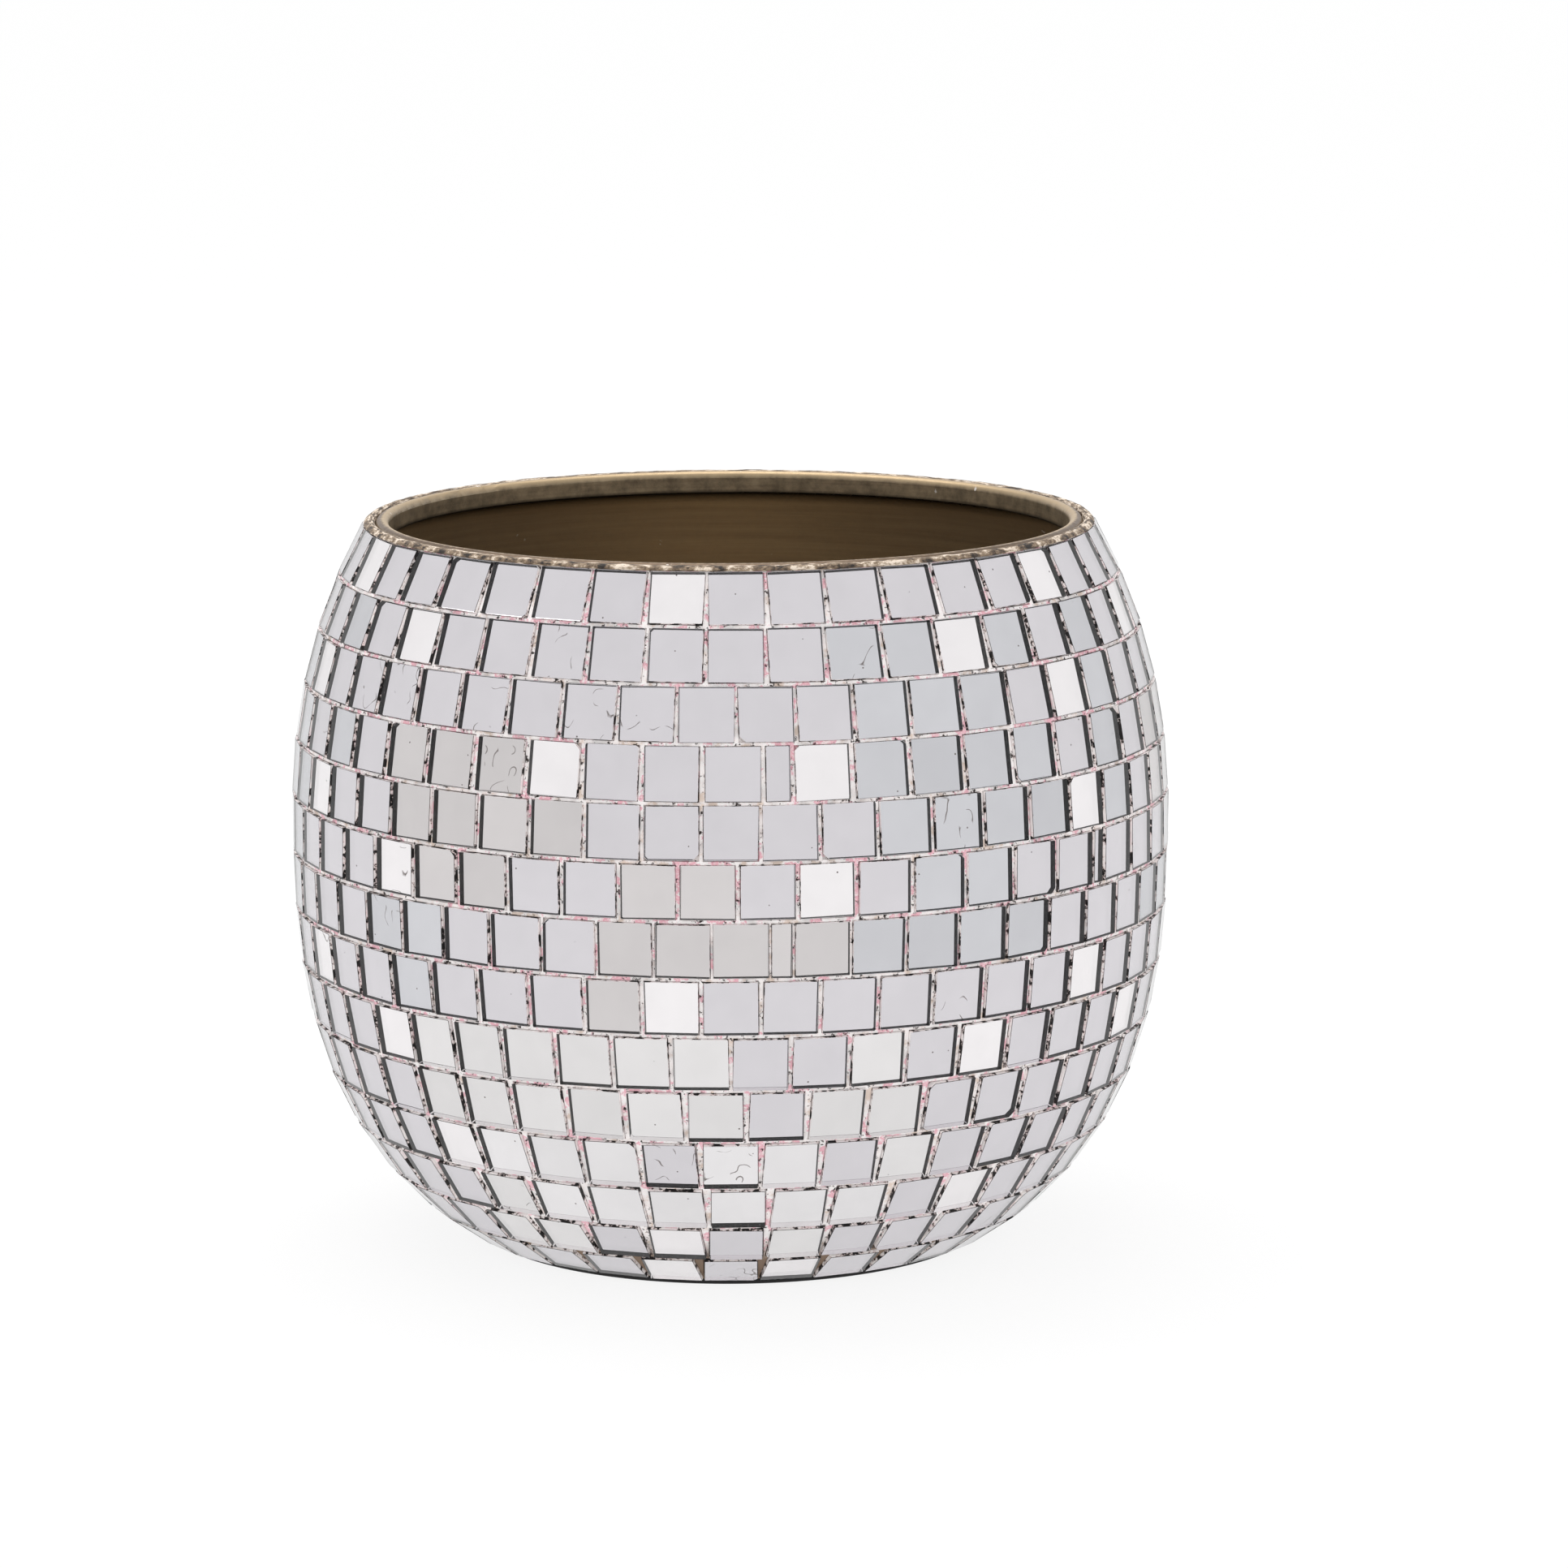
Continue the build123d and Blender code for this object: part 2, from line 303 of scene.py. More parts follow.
def pink_mortar(look):
    """Pigmented cement mortar, pressed into the joints and wiped: chalky, blotched from white to pink
    and sand over a few millimetres, gritty, with dark crumbs, and overpainted bronze at the foot."""
    material, tree = new_material("pink_cement_mortar")
    place = add(tree, "ShaderNodeTexCoord").outputs["Object"]
    blotch = add(tree, "ShaderNodeTexNoise", {
        "Vector": place, "Scale": per_metre(6), "Detail": 5.0, "Roughness": 0.65})
    tint = add(tree, "ShaderNodeValToRGB", {"Fac": blotch.outputs["Fac"]}, stops=[
        (0.36, rgba(look.sand)), (0.42, rgba(look.base)), (0.52, rgba(look.bloom)),
        (0.58, rgba(look.pink)), (0.66, rgba(look.base))])
    speck = add(tree, "ShaderNodeTexNoise", {
        "Vector": place, "Scale": per_metre(1.6), "Detail": 4.0, "Roughness": 0.7})
    dirt = add(tree, "ShaderNodeValToRGB", {"Fac": speck.outputs["Fac"]}, stops=[
        (0.58, (0, 0, 0, 1)), (0.63, (1, 1, 1, 1))])
    dirty = add(tree, "ShaderNodeMix", {
        0: dirt.outputs["Color"], 6: tint.outputs["Color"], 7: linear("#2E2422")}, data_type="RGBA")
    height = add(tree, "ShaderNodeSeparateXYZ", {"Vector": place}).outputs["Z"]
    overpainted_to = 11 * MM
    clean_from = 19 * MM
    low = add(tree, "ShaderNodeMapRange", {
        "Value": height, "From Min": overpainted_to, "From Max": clean_from,
        "To Min": 1.0, "To Max": 0.0})
    painted = add(tree, "ShaderNodeMix", {
        0: low.outputs["Result"], 6: dirty.outputs[2], 7: rgba(look.foot)}, data_type="RGBA")
    grit = add(tree, "ShaderNodeTexNoise", {
        "Vector": place, "Scale": per_metre(0.6), "Detail": 4.0, "Roughness": 0.7})
    bump = add(tree, "ShaderNodeBump", {
        "Height": grit.outputs["Fac"], "Strength": 0.7, "Distance": 0.25 * MM})
    surface = add(tree, "ShaderNodeBsdfPrincipled", {
        "Base Color": painted.outputs[2], "Roughness": 0.85, "Normal": bump.outputs["Normal"]})
    add(tree, "ShaderNodeOutputMaterial", {"Surface": surface.outputs["BSDF"]})
    return material


def bronze_paint(look, hem_low, hem_high, collar):
    """Bronze metal-flake lacquer sprayed on spun sheet: a soft metallic sheen with the spinning lines
    showing through, pale nicks down to the metal, and painted shade, a near-black band, under the hem.
    The hem is blotched by handling, and its fold carries a painted champagne highlight inside and is
    smeared with putty outside."""
    material, tree = new_material("bronze_lacquer_on_spun_sheet")
    place = add(tree, "ShaderNodeTexCoord").outputs["Object"]
    height = add(tree, "ShaderNodeSeparateXYZ", {"Vector": place}).outputs["Z"]
    level = add(tree, "ShaderNodeVectorMath", {0: place, 1: (1, 1, 0)}, operation="MULTIPLY")
    radius = add(tree, "ShaderNodeVectorMath", {0: level.outputs["Vector"]}, operation="LENGTH")
    stretched = add(tree, "ShaderNodeMapping", {
        "Vector": place, "Scale": (per_metre(70), per_metre(70), per_metre(1.9))})
    line = add(tree, "ShaderNodeTexNoise", {
        "Vector": stretched.outputs["Vector"], "Scale": 1.0, "Detail": 6.0, "Roughness": 0.65})
    flake = add(tree, "ShaderNodeTexNoise", {
        "Vector": place, "Scale": per_metre(1.6), "Detail": 4.0, "Roughness": 0.7})
    tone = add(tree, "ShaderNodeMapRange", {
        "Value": line.outputs["Fac"], "From Min": 0.3, "From Max": 0.7, "To Min": 0.0, "To Max": 0.75})
    streaked = add(tree, "ShaderNodeMix", {
        0: tone.outputs["Result"], 6: rgba(look.paint), 7: linear("#B5A385")}, data_type="RGBA")
    blotch = add(tree, "ShaderNodeTexNoise", {
        "Vector": place, "Scale": per_metre(5), "Detail": 5.0, "Roughness": 0.65})
    worn = add(tree, "ShaderNodeMapRange", {
        "Value": blotch.outputs["Fac"], "From Min": 0.35, "From Max": 0.65, "To Min": 0.42, "To Max": 0.84})
    handled = add(tree, "ShaderNodeVectorMath", {
        0: streaked.outputs[2], 1: worn.outputs["Result"]}, operation="MULTIPLY")
    on_hem = add(tree, "ShaderNodeMapRange", {
        "Value": height, "From Min": hem_low - 0.5 * MM, "From Max": hem_low + 1.0 * MM})
    darkened = add(tree, "ShaderNodeMix", {
        0: on_hem.outputs["Result"], 6: streaked.outputs[2], 7: handled.outputs["Vector"]}, data_type="RGBA")
    on_fold = add(tree, "ShaderNodeMapRange", {
        "Value": height, "From Min": hem_high - 1.7 * MM, "From Max": hem_high - 0.4 * MM})
    # Painted highlight: the top of the fold turns to a champagne highlight colour.
    highlighted = add(tree, "ShaderNodeMix", {
        0: on_fold.outputs["Result"], 6: darkened.outputs[2], 7: rgba(look.fold_highlight)}, data_type="RGBA")
    ragged = add(tree, "ShaderNodeMath", {
        0: flake.outputs["Fac"], 1: 2.4 * MM, 2: radius.outputs["Value"]}, operation="MULTIPLY_ADD")
    smear = add(tree, "ShaderNodeMapRange", {
        "Value": ragged.outputs["Value"], "From Min": collar - 0.9 * MM, "From Max": collar - 0.2 * MM})
    at_fold = add(tree, "ShaderNodeMath", {
        0: smear.outputs["Result"], 1: on_fold.outputs["Result"]}, operation="MULTIPLY")
    smeared = add(tree, "ShaderNodeMix", {
        0: at_fold.outputs["Value"], 6: highlighted.outputs[2], 7: rgba(look.putty)}, data_type="RGBA")
    # Painted shade: a near-black band on the wall just under the hem, where its shadow falls.
    under = add(tree, "ShaderNodeMapRange", {
        "Value": height, "From Min": hem_low - 3.2 * MM, "From Max": hem_low - 0.4 * MM})
    above = add(tree, "ShaderNodeMapRange", {
        "Value": height, "From Min": hem_low + 0.4 * MM, "From Max": hem_low + 1.5 * MM,
        "To Min": 1.0, "To Max": 0.0})
    shade_band = add(tree, "ShaderNodeMath", {
        0: under.outputs["Result"], 1: above.outputs["Result"]}, operation="MULTIPLY")
    hem_shaded = add(tree, "ShaderNodeMix", {
        0: shade_band.outputs["Value"], 6: smeared.outputs[2], 7: rgba(look.hem_shade)}, data_type="RGBA")
    dent = add(tree, "ShaderNodeTexVoronoi", {
        "Vector": place, "Scale": per_metre(9), "Randomness": 1.0}, feature="F1")
    broken = add(tree, "ShaderNodeMath", {
        0: flake.outputs["Fac"], 1: 0.5, 2: dent.outputs["Distance"]}, operation="MULTIPLY_ADD")
    chipped = add(tree, "ShaderNodeValToRGB", {"Fac": broken.outputs["Value"]}, stops=[
        (0.285, (1, 1, 1, 1)), (0.300, (0, 0, 0, 1))])
    base = add(tree, "ShaderNodeMix", {
        0: chipped.outputs["Color"], 6: hem_shaded.outputs[2], 7: rgba(look.nick)}, data_type="RGBA")
    rough = add(tree, "ShaderNodeMapRange", {
        "Value": flake.outputs["Fac"], "From Min": 0.3, "From Max": 0.7, "To Min": 0.34, "To Max": 0.50})
    bump = add(tree, "ShaderNodeBump", {
        "Height": line.outputs["Fac"], "Strength": 0.4, "Distance": 0.15 * MM})
    surface = add(tree, "ShaderNodeBsdfPrincipled", {
        "Base Color": base.outputs[2], "Metallic": 0.75, "Roughness": rough.outputs["Result"],
        "Normal": bump.outputs["Normal"]})
    add(tree, "ShaderNodeOutputMaterial", {"Surface": surface.outputs["BSDF"]})
    return material


def painted_putty(look):
    """Filler putty smeared along the rim by hand and sprayed with the same bronze: dull brown, drawn out
    round the pot, with dark pits and a few bare beige crests."""
    material, tree = new_material("bronze_painted_putty")
    place = add(tree, "ShaderNodeTexCoord").outputs["Object"]
    level = add(tree, "ShaderNodeVectorMath", {0: place, 1: (1, 1, 0)}, operation="MULTIPLY")
    radius = add(tree, "ShaderNodeVectorMath", {0: level.outputs["Vector"]}, operation="LENGTH")
    across = add(tree, "ShaderNodeMath", {
        0: radius.outputs["Value"], 1: per_metre(0.8)}, operation="MULTIPLY")
    turned = add(tree, "ShaderNodeCombineXYZ", {"Z": across.outputs["Value"]})
    along = add(tree, "ShaderNodeVectorMath", {
        0: place, 1: (per_metre(5), per_metre(5), per_metre(1)), 2: turned.outputs["Vector"]},
        operation="MULTIPLY_ADD")
    drawn = add(tree, "ShaderNodeTexNoise", {
        "Vector": along.outputs["Vector"], "Scale": 1.0, "Detail": 5.0, "Roughness": 0.7})
    base = add(tree, "ShaderNodeValToRGB", {"Fac": drawn.outputs["Fac"]}, stops=[
        (0.39, linear("#1E160F")), (0.45, rgba(look.putty)), (0.52, linear("#948069")),
        (0.58, linear("#DFD0BF"))])
    grit = add(tree, "ShaderNodeTexNoise", {
        "Vector": place, "Scale": per_metre(0.9), "Detail": 4.0, "Roughness": 0.7})
    bump = add(tree, "ShaderNodeBump", {
        "Height": grit.outputs["Fac"], "Strength": 0.6, "Distance": 0.25 * MM})
    surface = add(tree, "ShaderNodeBsdfPrincipled", {
        "Base Color": base.outputs["Color"], "Metallic": 0.2, "Roughness": 0.6,
        "Normal": bump.outputs["Normal"]})
    add(tree, "ShaderNodeOutputMaterial", {"Surface": surface.outputs["BSDF"]})
    return material


def pad_foam(look):
    """Black closed-cell foam sheet, die cut: matt, with a fine open grain."""
    material, tree = new_material("black_foam_sheet")
    place = add(tree, "ShaderNodeTexCoord").outputs["Object"]
    grain = add(tree, "ShaderNodeTexVoronoi", {"Vector": place, "Scale": per_metre(0.9)}, feature="F1")
    tone = add(tree, "ShaderNodeValToRGB", {"Fac": grain.outputs["Distance"]}, stops=[
        (0.0, linear("#0C0B0C")), (0.8, rgba(look.black))])
    bump = add(tree, "ShaderNodeBump", {
        "Height": grain.outputs["Distance"], "Strength": 0.5, "Distance": 0.1 * MM})
    surface = add(tree, "ShaderNodeBsdfPrincipled", {
        "Base Color": tone.outputs["Color"], "Roughness": 0.8, "Normal": bump.outputs["Normal"]})
    add(tree, "ShaderNodeOutputMaterial", {"Surface": surface.outputs["BSDF"]})
    return material


def light_table(look):
    """Opal acrylic table top lit from below: an even pale glow with barely a shadow under the pot."""
    material, tree = new_material("opal_acrylic_light_table")
    surface = add(tree, "ShaderNodeBsdfPrincipled", {
        "Base Color": linear("#606060"), "Roughness": 0.9, "Specular IOR Level": 0.0,
        "Emission Color": rgba(look.floor), "Emission Strength": look.table_glow})
    add(tree, "ShaderNodeOutputMaterial", {"Surface": surface.outputs["BSDF"]})
    return material


# ---------------------------------------------------------------- meshes

def finish_piece(bm, name, materials, nodes, smooth_below=None):
    """Writes the mesh to an object at the origin, hangs it on the root body and hides the CAD nodes that it
    stands for.
    """
    mesh = bpy.data.meshes.new(name)
    bm.to_mesh(mesh)
    bm.free()
    for material in materials:
        mesh.materials.append(material)
    piece = bpy.data.objects.new(name, mesh)
    bpy.context.scene.collection.objects.link(piece)
    if smooth_below is not None:
        mesh.shade_smooth()
        mesh.set_sharp_from_angle(angle=smooth_below)
    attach(piece, "root")
    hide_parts(*nodes)
    return piece


def paint_node(node_name, material):
    """Gives its finish to a CAD piece whose shape stays as it is."""
    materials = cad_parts[node_name].data.materials
    materials.clear()
    materials.append(material)


def cad_tiles(node_name):
    """Place, width, height and depth of each glass tile in a CAD row. In its own place a tile has X
    out of its face, Y along the row and Z up the face."""
    bm = bmesh.new()
    bm.from_mesh(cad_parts[node_name].data)
    bmesh.ops.remove_doubles(bm, verts=bm.verts, dist=0.01 * MM)
    waiting = set(bm.verts)
    tiles = []
    while waiting:
        island = {waiting.pop()}
        edge_of_island = list(island)
        while edge_of_island:
            vert = edge_of_island.pop()
            for edge in vert.link_edges:
                other = edge.other_vert(vert)
                if other not in island:
                    island.add(other)
                    edge_of_island.append(other)
        waiting -= island
        corners = sorted((vert.co.copy() for vert in island), key=tuple)    # the same order each run
        tiles.append(tile_place(corners))
    bm.free()
    return sorted(tiles, key=lambda tile: tile[0])


def tile_place(corners):
    """Angle about the axis, place, width, height and depth of the box with these corners."""
    centre = sum(corners, Vector()) / len(corners)
    about = math.atan2(centre.y, centre.x)
    upright = Matrix.Rotation(-about, 3, "Z")
    local = [upright @ (corner - centre) for corner in corners]
    width = 2 * max(corner.y for corner in local)
    side = [Vector((corner.x, 0, corner.z)) for corner in local if corner.y > 0]
    top = max(side, key=lambda corner: corner.z)
    beside = min((corner for corner in side if corner is not top), key=lambda corner: (corner - top).length)
    upper_middle = (top + beside) / 2
    up = upper_middle.normalized()
    out = Vector((up.z, 0, -up.x))
    axes = Matrix((out, Vector((0, 1, 0)), up)).transposed()
    turn = (Matrix.Rotation(about, 3, "Z") @ axes).to_4x4()
    place = Matrix.Translation(centre) @ turn
    return about, place, width, 2 * upper_middle.length, (top - beside).length


def nip_corner(bm, tile_layer, place, side, end, size):
    """Breaks the tip off one corner of the newest tile."""
    back = place.inverted()
    for edge in bm.edges:
        if any(face[tile_layer] for face in edge.link_faces):
            continue
        first, second = (back @ vert.co for vert in edge.verts)
        through = abs(first.x - second.x) > abs(first.y - second.y) + abs(first.z - second.z)
        if through and first.y * side > 0 and first.z * end > 0:
            bmesh.ops.bevel(
                bm, geom=[edge], offset=size, offset_type="OFFSET", segments=1,
                profile=0.5, affect="EDGES", material=LAST_MATERIAL)
            return


def stray(dice, spread):
    """A chance deviation, at most twice the spread."""
    return max(-2 * spread, min(2 * spread, dice.gauss(0, spread)))


def set_tile(bm, layers, number, tile, look, tone, glinting_foot, dice):
    """Adds one glass tile inside its bed in the mortar: cut a little small and out of square, set a
    little askew, with broken corners. Its face is glass, its back silver and its sides snapped edge,
    but a lower edge picked for a glint is silvered white, a painted reflection of the table."""
    tile_layer, tone_layer = layers
    _, place, width, height, depth = tile
    aside = stray(dice, look.place_spread)
    along = stray(dice, look.place_spread)
    turn = stray(dice, look.turn_spread)
    place = place @ (
        Matrix.Translation((0, aside, along))
        @ Matrix.Rotation(turn, 4, "X")
        @ Matrix.Rotation(stray(dice, look.tilt_spread), 4, "Y")
        @ Matrix.Rotation(stray(dice, look.tilt_spread), 4, "Z"))
    spare_width = abs(aside) + abs(turn) * height / 2 + look.clearance
    spare_height = abs(along) + abs(turn) * width / 2 + look.clearance
    cut_width = width - 2 * spare_width - dice.random() * look.size_spread
    cut_height = height - 2 * spare_height - dice.random() * look.size_spread
    box = (
        place @ Matrix.Translation((look.seat / 2, 0, 0))
        @ Matrix.Diagonal((depth - look.seat, cut_width, cut_height, 1)))
    verts = bmesh.ops.create_cube(bm, size=1.0, matrix=box)["verts"]
    back = place.inverted()
    for side, end in TILE_CORNERS:
        pair = [v for v in verts if (back @ v.co).y * side > 0 and (back @ v.co).z * end > 0]
        inward = Vector((0, -side * dice.random() ** 2, -end * dice.random() ** 2)) * look.corner_spread
        bmesh.ops.translate(bm, verts=pair, vec=place.to_3x3() @ inward)
    for side, end in TILE_CORNERS:
        size = look.nip * dice.uniform(0.4, 1.4)
        if dice.random() < look.chip_share:
            size = look.chip * dice.uniform(0.4, 1.0)
        nip_corner(bm, tile_layer, place, side, end, min(size, cut_width / 3))
    outward = place.to_3x3() @ Vector((1, 0, 0))
    downward = place.to_3x3() @ Vector((0, 0, -1))
    fresh = [face for face in bm.faces if not face[tile_layer]]
    front = max(fresh, key=lambda face: face.normal.dot(outward))
    bmesh.ops.bevel(
        bm, geom=list(front.edges), offset=look.arris, offset_type="OFFSET", segments=1,
        profile=0.5, affect="EDGES", material=LAST_MATERIAL)
    wear = 1.0 if dice.random() < look.worn_share else 0.0
    for face in bm.faces:
        if face[tile_layer]:
            continue
        face[tile_layer] = number
        facing = face.normal.dot(outward)
        # A lower edge picked for a glint is silvered white: a painted reflection of the table.
        foot_glint = glinting_foot and face.normal.dot(downward) > FOOT_FACING
        if facing > FRONT_FACING:
            face.material_index = GLASS_FRONT
        elif facing < BACK_FACING or foot_glint:
            face.material_index = SILVER_BACK
        else:
            face.material_index = SNAPPED_SIDE
        if foot_glint:
            shown = look.white
        elif face.material_index == SNAPPED_SIDE:
            shown = look.edge
        else:
            shown = tone
        for loop in face.loops:
            loop[tone_layer] = (*shown, wear)


# Which rows and angles have a cast of their own, a painted reflection of the room in the silvering:
# first row, last row, from, to, cast, share of the tiles that have it. The angles run to the right
# from the front, and the pattern comes three times round the pot.
CASTS = (
    (2, 6, 17.0, 48.0, "cool", 0.70),
    (2, 5, 55.0, 60.0, "cool", 0.85),
    (4, 5, -47.0, -19.0, "warm", 0.90),
    (6, 6, -44.0, 10.0, "warm", 0.85),
    (7, 7, 15.0, 45.0, "cool", 0.90),
    (7, 8, -52.0, -40.0, "cool", 0.60),
    (7, 8, -17.0, 12.0, "warm", 0.45),
    (11, 12, -34.0, 22.0, "light", 0.75),
    (9, 13, -44.0, 26.0, "pale", 0.78),
)
# The brightest tiles, painted glints of the lights: row and angle.
BRIGHT = (
    (1, -66.0), (1, -7.6), (1, 54.0), (2, -47.0), (2, 34.0), (3, 51.0), (4, -21.5), (4, 12.0), (5, 52.6),
    (6, -49.0), (6, 12.4), (8, 52.7), (8, -7.0), (9, -51.0), (9, 34.8), (10, 63.0), (11, -40.0), (12, 38.3),
    (13, -8.7), (14, -12.0), (14, 12.4),
)
PATTERN_TURN = 120.0    # degrees from one pattern to the next
LOWER_ROWS = 9          # from this row down, any tile may have a painted glint on its lower edge
# Rows whose lower edges all carry a painted glint, a painted reflection of the table, and where: first row,
# last row, from, to.
GLINTING_FEET = ((9, 13, -44.0, -20.0), (10, 13, 8.0, 36.0), (2, 5, -4.0, 2.0))


def from_front(about):
    """Degrees to the right of the front of a place at this angle about the axis, within one pattern."""
    degrees = math.degrees(about) + 90
    return (degrees + PATTERN_TURN / 2) % PATTERN_TURN - PATTERN_TURN / 2


def cast_of(row, degrees, half_width, dice):
    """Name of the silvering colour of a tile: a painted reflection of the room, white for painted glints."""
    roll = dice.random()
    for bright_row, bright_angle in BRIGHT:
        if row == bright_row and abs(bright_angle - degrees) < half_width:
            return "white"
    for first, last, start, end, cast, part in CASTS:
        if first <= row <= last and start <= degrees <= end and roll < part:
            return cast
    return "lilac"


def lay_row(row, look, materials):
    """One finished row of mirror tiles on its CAD row."""
    dice = random.Random(FIRST_SEED + row)
    node_name = f"mirror_row_{row:02d}"
    bm = bmesh.new()
    layers = bm.faces.layers.int.new("tile_number"), bm.loops.layers.float_color.new("tile_tone")
    for number, tile in enumerate(cad_tiles(node_name), 1):
        about, place, width = tile[:3]
        centre = place.translation
        degrees = from_front(about)
        half_width = math.degrees(width / 2 / Vector((centre.x, centre.y)).length)
        # The cast is the tile's painted reflection of the room.
        cast = cast_of(row, degrees, half_width, dice)
        own = getattr(look, cast)
        shade = dice.uniform(0.99, 1.01) if cast in ("lilac", "white") else dice.uniform(0.95, 1.05)
        tone = [channel * shade for channel in own]
        # Whether this tile's lower edge gets a painted glint, a painted reflection of the table.
        glinting_foot = row >= LOWER_ROWS and dice.random() < look.glint_share or any(
            first <= row <= last and start <= degrees <= end for first, last, start, end in GLINTING_FEET)
        set_tile(bm, layers, number, tile, look, tone, glinting_foot, dice)
    return finish_piece(bm, f"mirror_tiles_{row:02d}", materials, [node_name])


def lumpy(bm, height, spacing):
    """Pushes a mesh out and in along its normals by smooth noise."""
    bm.normal_update()
    for vert in bm.verts:
        where = vert.co / spacing
        push = noise.noise(where) + 0.5 * noise.noise(2.3 * where + Vector((9, 4, 7)))
        vert.co += vert.normal * push * height


def ring_section(bm, points):
    """A closed loop of edges through these (radius, height) points on the XZ plane."""
    verts = [bm.verts.new((radius, 0, height)) for radius, height in points]
    edges = [bm.edges.new(pair) for pair in zip(verts, verts[1:] + verts[:1])]
    return verts + edges


def spin_round(bm, section, steps):
    """Turns a section about the pot's axis into a closed ring."""
    bmesh.ops.spin(
        bm, geom=section, cent=(0, 0, 0), axis=(0, 0, 1), dvec=(0, 0, 0),
        angle=math.tau, steps=steps, use_merge=True, use_duplicate=False)
    bmesh.ops.remove_doubles(bm, verts=bm.verts, dist=0.001 * MM)
    bmesh.ops.recalc_face_normals(bm, faces=bm.faces)


# ---------------------------------------------------------------- operators

class MOSAICPOT_OT_tiles(bpy.types.Operator):
    """Lay the finished mirror tiles on every row"""
    bl_idname = "mosaicpot.tiles"
    bl_label = "Mirror tiles"

    def execute(self, context):
        look = context.scene.mosaicpot_tiles
        materials = [float_glass(), silvering(), cut_edge(look)]
        for row in range(1, ROW_COUNT + 1):
            lay_row(row, look, materials)
        return {"FINISHED"}


class MOSAICPOT_OT_mortar(bpy.types.Operator):
    """Finish the mortar between the tiles"""
    bl_idname = "mosaicpot.mortar"
    bl_label = "Mortar"

    def execute(self, context):
        material = pink_mortar(context.scene.mosaicpot_mortar)
        for row in range(1, ROW_COUNT + 1):
            paint_node(f"mortar_band_{row:02d}", material)
        return {"FINISHED"}


class MOSAICPOT_OT_shell(bpy.types.Operator):
    """Paint the spun pot"""
    bl_idname = "mosaicpot.shell"
    bl_label = "Bronze pot"

    def execute(self, context):
        hem_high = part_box("pot_shell")[1].z
        hem_low = hem_high - HEM_DEPTH
        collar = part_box("rim_putty")[1].x - COLLAR_SETBACK
        paint_node("pot_shell", bronze_paint(context.scene.mosaicpot_rim, hem_low, hem_high, collar))
        return {"FINISHED"}


class MOSAICPOT_OT_putty(bpy.types.Operator):
    """Smear the putty round the collar"""
    bl_idname = "mosaicpot.putty"
    bl_label = "Rim putty"

    def execute(self, context):
        look = context.scene.mosaicpot_rim
        low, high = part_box("rim_putty")
        outer = high.x
        inner = outer - PUTTY_WIDTH
        crown = (outer + inner) / 2
        top = high.z - PUTTY_DROP
        section = [
            (inner, low.z),
            (inner, top - 0.9 * MM),
            (inner + 0.35 * MM, top - 0.4 * MM),
            (inner + 0.8 * MM, top - 0.12 * MM),
            (crown - 0.1 * MM, top),
            (crown + 0.5 * MM, top - 0.15 * MM),
            (outer - 0.5 * MM, top - 0.5 * MM),
            (outer, top - 1.0 * MM),
            (outer + 0.1 * MM, top - 1.4 * MM),
            (outer - 0.3 * MM, top - 1.3 * MM),
            (crown, low.z + 0.5 * MM),
        ]
        bm = bmesh.new()
        spin_round(bm, ring_section(bm, section), PUTTY_STEPS)
        lumpy(bm, look.lump, look.lump_size)
        finish_piece(
            bm, "rim_putty_run", [painted_putty(look)], ["rim_putty"], math.radians(50))
        return {"FINISHED"}


class MOSAICPOT_OT_foot(bpy.types.Operator):
    """Cut the foot pad"""
    bl_idname = "mosaicpot.foot"
    bl_label = "Foot pad"

    def execute(self, context):
        look = context.scene.mosaicpot_foot
        low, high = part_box("base_pad")
        bm = bmesh.new()
        bmesh.ops.create_cone(
            bm, cap_ends=True, cap_tris=False, segments=PAD_STEPS, radius1=high.x, radius2=high.x,
            depth=high.z - low.z, matrix=Matrix.Translation((0, 0, (low.z + high.z) / 2)))
        caps = [face for face in bm.faces if len(face.verts) > 4]
        rims = [edge for face in caps for edge in face.edges]
        bmesh.ops.bevel(
            bm, geom=rims, offset=look.rounding, offset_type="OFFSET", segments=3,
            profile=0.5, affect="EDGES", material=LAST_MATERIAL)
        caps = [face for face in bm.faces if len(face.verts) > 4]
        bmesh.ops.inset_region(bm, faces=caps, thickness=PAD_BORDER, use_even_offset=True)
        finish_piece(bm, "foot_pad_disc", [pad_foam(look)], ["base_pad"], math.radians(40))
        return {"FINISHED"}


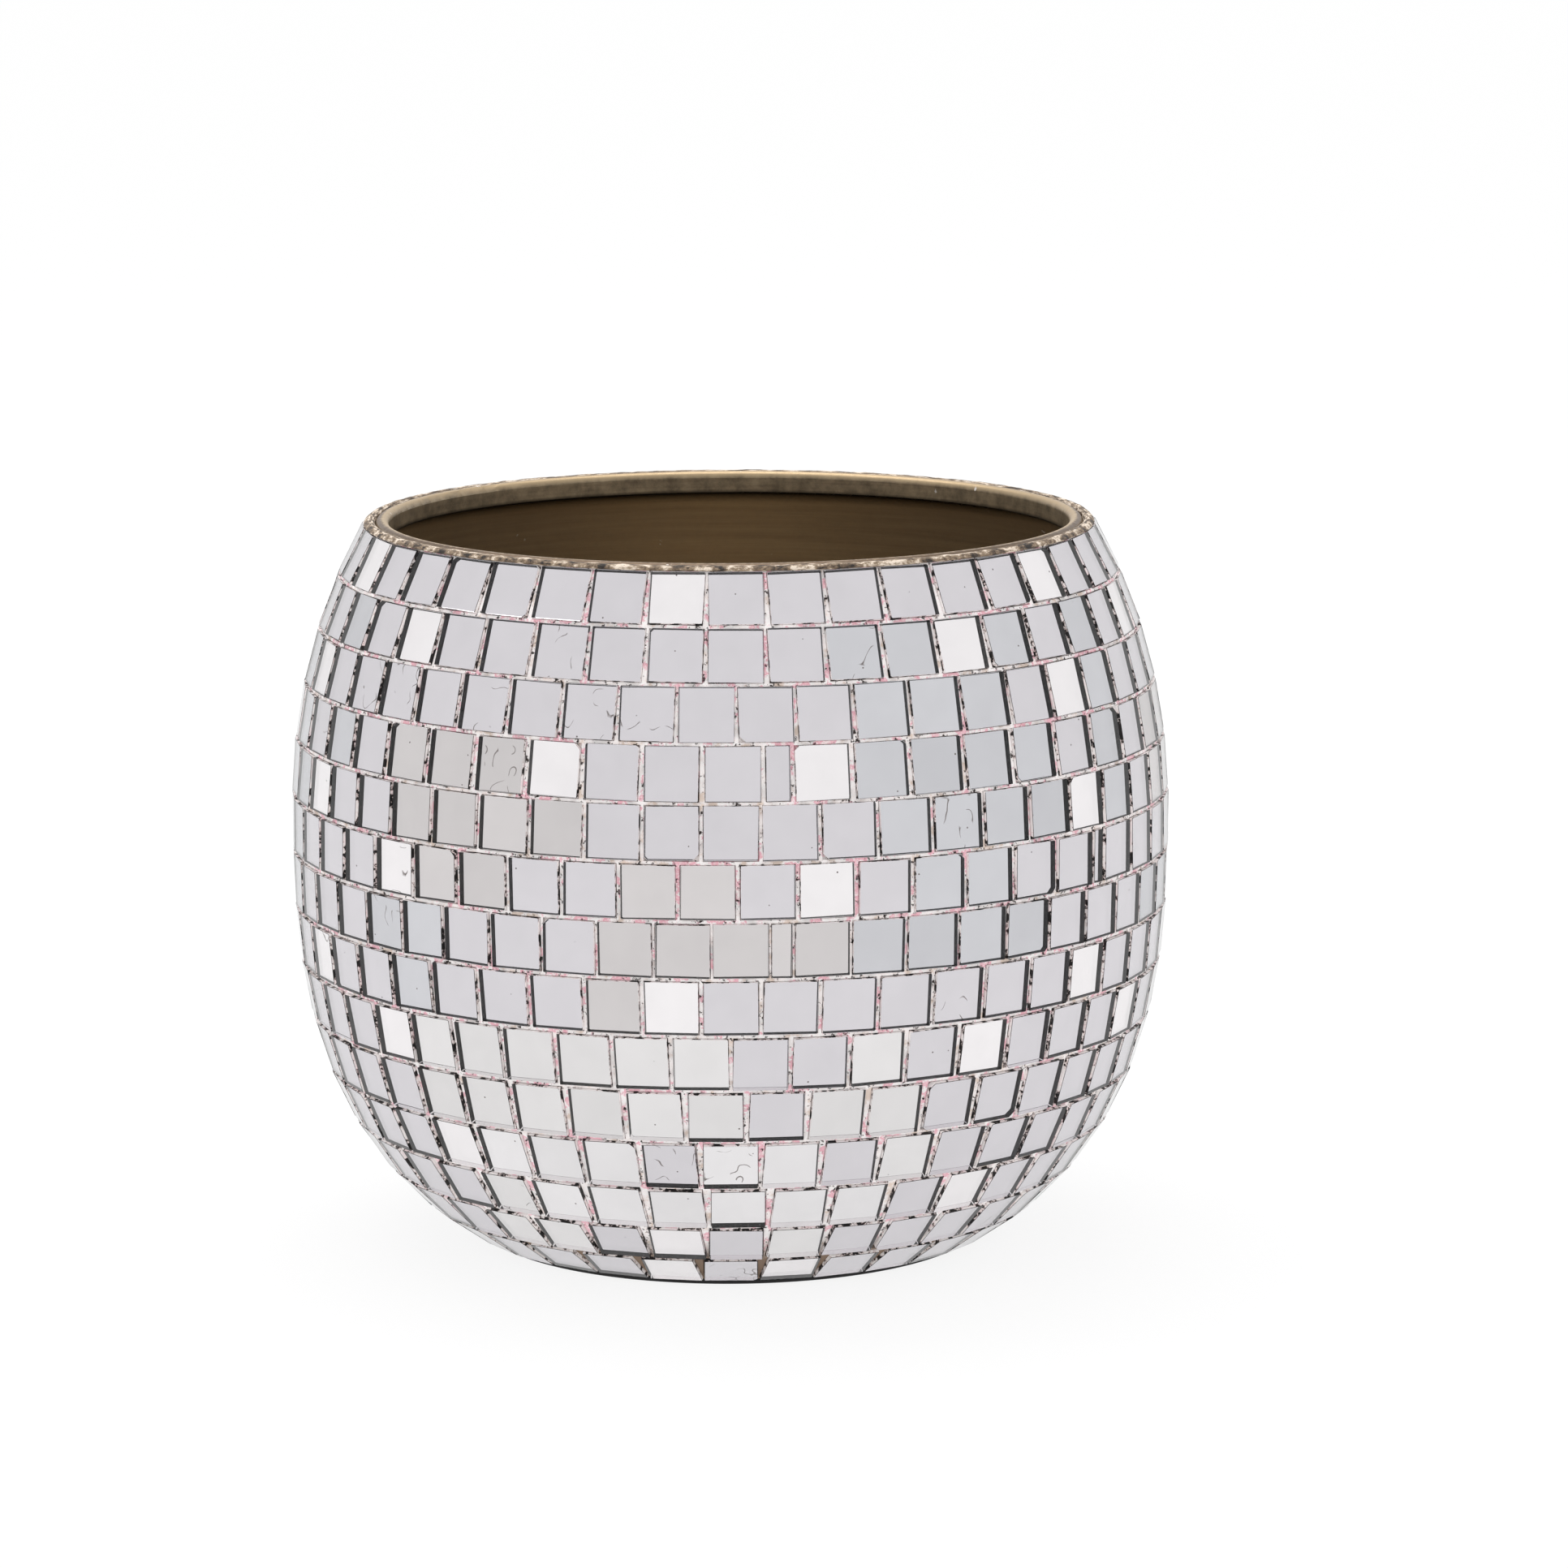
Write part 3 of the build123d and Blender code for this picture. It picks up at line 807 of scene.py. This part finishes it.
class MOSAICPOT_OT_stage(bpy.types.Operator):
    """Set up the floor, the light and the camera"""
    bl_idname = "mosaicpot.stage"
    bl_label = "Stage"

    def execute(self, context):
        scene = context.scene
        look = scene.mosaicpot_stage
        scene.view_settings.view_transform = "Standard"

        bm = bmesh.new()
        bmesh.ops.create_grid(bm, x_segments=1, y_segments=1, size=20.0)
        mesh = bpy.data.meshes.new("studio_floor")
        bm.to_mesh(mesh)
        bm.free()
        mesh.materials.append(light_table(look))
        floor = bpy.data.objects.new("studio_floor", mesh)
        floor.location.z = -FLOOR_GAP
        scene.collection.objects.link(floor)

        world = bpy.data.worlds.new("studio_light")
        world.use_nodes = True
        world.node_tree.nodes.clear()
        sky = add(world.node_tree, "ShaderNodeBackground", {"Color": rgba(look.sky), "Strength": 1.0})
        add(world.node_tree, "ShaderNodeOutputWorld", {"Surface": sky.outputs["Background"]})
        scene.world = world

        softbox = bpy.data.lights.new("overhead_softbox", "AREA")
        softbox.shape = "RECTANGLE"
        softbox.size = 1.6
        softbox.size_y = 1.2
        softbox.energy = look.softbox
        lamp = bpy.data.objects.new("overhead_softbox", softbox)
        lamp.matrix_world = (
            Matrix.Translation((-0.3, 0.5, 1.7)) @ Matrix.Rotation(math.radians(-16), 4, "X"))
        scene.collection.objects.link(lamp)

        lens = bpy.data.cameras.new("camera")
        lens.sensor_width = 36.0
        lens.lens = look.lens
        camera = bpy.data.objects.new("camera", lens)
        camera.matrix_world = (
            Matrix.Translation((look.sideways, -look.distance, look.height))
            @ Matrix.Rotation(math.pi / 2 - look.pitch, 4, "X")
            @ Matrix.Rotation(look.roll, 4, "Z"))
        scene.collection.objects.link(camera)
        scene.camera = camera
        return {"FINISHED"}


class MOSAICPOT_PT_panel(bpy.types.Panel):
    """Lists the steps that build the pot"""
    bl_idname = "MOSAICPOT_PT_panel"
    bl_label = "Mosaic pot"
    bl_space_type = "VIEW_3D"
    bl_region_type = "UI"
    bl_category = "Mosaic pot"

    def draw(self, context):
        for operator in OPERATORS:
            self.layout.operator(operator.bl_idname)


SETTINGS = {
    "mosaicpot_tiles": MosaicPotTiles,
    "mosaicpot_mortar": MosaicPotMortar,
    "mosaicpot_rim": MosaicPotRim,
    "mosaicpot_foot": MosaicPotFoot,
    "mosaicpot_stage": MosaicPotStage,
}
OPERATORS = (
    MOSAICPOT_OT_tiles,
    MOSAICPOT_OT_mortar,
    MOSAICPOT_OT_shell,
    MOSAICPOT_OT_putty,
    MOSAICPOT_OT_foot,
    MOSAICPOT_OT_stage,
)


def register():
    for name, group in SETTINGS.items():
        bpy.utils.register_class(group)
        setattr(bpy.types.Scene, name, bpy.props.PointerProperty(type=group))
    for operator in OPERATORS:
        bpy.utils.register_class(operator)
    bpy.utils.register_class(MOSAICPOT_PT_panel)


def unregister():
    bpy.utils.unregister_class(MOSAICPOT_PT_panel)
    for operator in reversed(OPERATORS):
        bpy.utils.unregister_class(operator)
    for name, group in SETTINGS.items():
        delattr(bpy.types.Scene, name)
        bpy.utils.unregister_class(group)


def main():
    """Builds every piece and the stage."""
    register()
    bpy.ops.mosaicpot.tiles()
    bpy.ops.mosaicpot.mortar()
    bpy.ops.mosaicpot.shell()
    bpy.ops.mosaicpot.putty()
    bpy.ops.mosaicpot.foot()
    bpy.ops.mosaicpot.stage()


if __name__ == "__main__":
    main()
